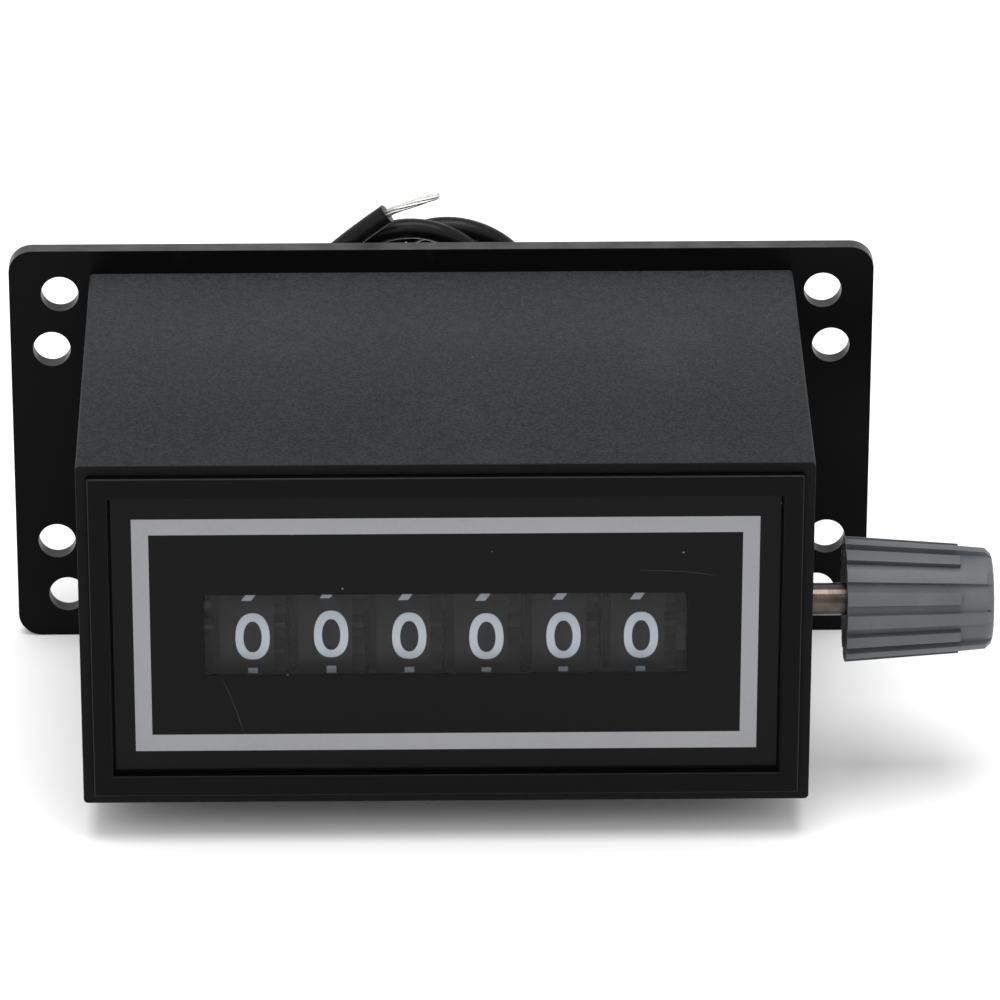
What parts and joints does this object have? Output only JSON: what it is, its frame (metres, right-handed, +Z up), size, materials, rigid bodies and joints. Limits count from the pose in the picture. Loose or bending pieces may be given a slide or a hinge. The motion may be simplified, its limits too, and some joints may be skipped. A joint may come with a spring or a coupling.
{
  "type": "electromechanical impulse counter",
  "caption": "Black box-shaped impulse counter with number wheels behind a window, a ribbed side reset knob, a drilled rear mounting plate and two wire leads",
  "frame": {"origin": "centre of the mounting plate's rear face, where the plate meets a panel", "axes": "+X towards the reset knob, +Y out of the back of the plate, +Z up; the figures face -Y"},
  "size_m": [0.1134, 0.0703, 0.0565],
  "materials": {
    "plate": "gloss black enamel on steel",
    "case": "fine spark-eroded texture",
    "bezel": "satin",
    "panel": "gloss, with a printed silver-grey border",
    "window": "clear acrylic",
    "wheel": "satin moulded, white figures",
    "nylon": "natural nylon",
    "steel": "zinc plated",
    "nickel": "nickel plated",
    "brass": "turned",
    "winding": "taped magnet wire",
    "knob": "satin moulded grey",
    "screw": "black zinc",
    "grommet": "moulded",
    "lead": "satin extruded sleeve",
    "tie": "moulded nylon",
    "tinned": "tinned stranded copper"
  },
  "bodies": {
    "housing": {"mounting_plate": "plate", "case_shell": "case", "front_bezel": "bezel", "face_panel": "panel", "window_lens": "window", "left_side_plate": "steel", "right_side_plate": "steel", "tie_bars": "steel", "pinion_shaft": "steel", "verge_pin": "steel", "solenoid_yoke": "steel", "solenoid_core": "steel", "coil_bobbin": "nylon", "coil_winding": "winding", "return_spring": "steel", "shaft_bush": "brass", "case_screws": "screw", "frame_screws": "screw", "lead_grommet": "grommet", "lead_hank": "lead", "hank_tie": "tie", "lead_a_exit": "lead", "lead_b_exit": "lead", "lead_a_end": "lead", "lead_b_end": "lead", "lead_a_tip": "tinned", "lead_b_tip": "tinned"},
    "hundred_thousands_wheel": {"number_wheel_1": "wheel", "reset_pawl_1": "steel"},
    "ten_thousands_wheel": {"number_wheel_2": "wheel", "reset_pawl_2": "steel"},
    "thousands_wheel": {"number_wheel_3": "wheel", "reset_pawl_3": "steel"},
    "hundreds_wheel": {"number_wheel_4": "wheel", "reset_pawl_4": "steel"},
    "tens_wheel": {"number_wheel_5": "wheel", "reset_pawl_5": "steel"},
    "units_wheel": {"number_wheel_6": "wheel", "reset_pawl_6": "steel", "ratchet_wheel": "nylon"},
    "transfer_pinion_body_1": {"transfer_pinion_1": "nylon"},
    "transfer_pinion_body_2": {"transfer_pinion_2": "nylon"},
    "transfer_pinion_body_3": {"transfer_pinion_3": "nylon"},
    "transfer_pinion_body_4": {"transfer_pinion_4": "nylon"},
    "transfer_pinion_body_5": {"transfer_pinion_5": "nylon"},
    "reset": {"reset_shaft": "nickel", "shaft_clips": "steel", "reset_knob": "knob", "knob_insert": "brass"},
    "armature": {"armature": "steel", "verge": "steel"}
  },
  "joints": [
    {"name": "hundred_thousands_turn", "type": "hinge", "parent": "housing", "child": "hundred_thousands_wheel", "pos_m": [-0.02206, -0.0393, -0.00165], "axis": [-1, 0, 0], "continuous": true},
    {"name": "ten_thousands_turn", "type": "hinge", "parent": "housing", "child": "ten_thousands_wheel", "pos_m": [-0.01324, -0.0393, -0.00165], "axis": [-1, 0, 0], "continuous": true},
    {"name": "thousands_turn", "type": "hinge", "parent": "housing", "child": "thousands_wheel", "pos_m": [-0.00441, -0.0393, -0.00165], "axis": [-1, 0, 0], "continuous": true},
    {"name": "hundreds_turn", "type": "hinge", "parent": "housing", "child": "hundreds_wheel", "pos_m": [0.00441, -0.0393, -0.00165], "axis": [-1, 0, 0], "continuous": true},
    {"name": "tens_turn", "type": "hinge", "parent": "housing", "child": "tens_wheel", "pos_m": [0.01324, -0.0393, -0.00165], "axis": [-1, 0, 0], "continuous": true},
    {"name": "units_turn", "type": "hinge", "parent": "housing", "child": "units_wheel", "pos_m": [0.02206, -0.0393, -0.00165], "axis": [-1, 0, 0], "continuous": true},
    {"name": "transfer_pinion_turn_1", "type": "hinge", "parent": "housing", "child": "transfer_pinion_body_1", "pos_m": [-0.01804, -0.02922, -0.01011], "axis": [-1, 0, 0], "continuous": true},
    {"name": "transfer_pinion_turn_2", "type": "hinge", "parent": "housing", "child": "transfer_pinion_body_2", "pos_m": [-0.00921, -0.02922, -0.01011], "axis": [-1, 0, 0], "continuous": true},
    {"name": "transfer_pinion_turn_3", "type": "hinge", "parent": "housing", "child": "transfer_pinion_body_3", "pos_m": [-0.00039, -0.02922, -0.01011], "axis": [-1, 0, 0], "continuous": true},
    {"name": "transfer_pinion_turn_4", "type": "hinge", "parent": "housing", "child": "transfer_pinion_body_4", "pos_m": [0.00844, -0.02922, -0.01011], "axis": [-1, 0, 0], "continuous": true},
    {"name": "transfer_pinion_turn_5", "type": "hinge", "parent": "housing", "child": "transfer_pinion_body_5", "pos_m": [0.01726, -0.02922, -0.01011], "axis": [-1, 0, 0], "continuous": true},
    {"name": "reset_turn", "type": "hinge", "parent": "housing", "child": "reset", "pos_m": [0.05, -0.0393, -0.00165], "axis": [-1, 0, 0], "continuous": true},
    {"name": "armature_pull", "type": "hinge", "parent": "housing", "child": "armature", "pos_m": [0.012, -0.025, -0.00165], "axis": [-1, 0, 0], "range_deg": [0, 5], "stiffness_Nm_per_rad": 0.02, "springref_deg": -5.73, "deforming": ["return_spring"]}
  ],
  "couplings": [
    {"joint": "hundred_thousands_turn", "follows": "units_turn", "ratio": 0.00001},
    {"joint": "ten_thousands_turn", "follows": "units_turn", "ratio": 0.0001},
    {"joint": "thousands_turn", "follows": "units_turn", "ratio": 0.001},
    {"joint": "hundreds_turn", "follows": "units_turn", "ratio": 0.01},
    {"joint": "tens_turn", "follows": "units_turn", "ratio": 0.1},
    {"joint": "transfer_pinion_turn_1", "follows": "units_turn", "ratio": -0.000025},
    {"joint": "transfer_pinion_turn_2", "follows": "units_turn", "ratio": -0.00025},
    {"joint": "transfer_pinion_turn_3", "follows": "units_turn", "ratio": -0.0025},
    {"joint": "transfer_pinion_turn_4", "follows": "units_turn", "ratio": -0.025},
    {"joint": "transfer_pinion_turn_5", "follows": "units_turn", "ratio": -0.25}
  ]
}
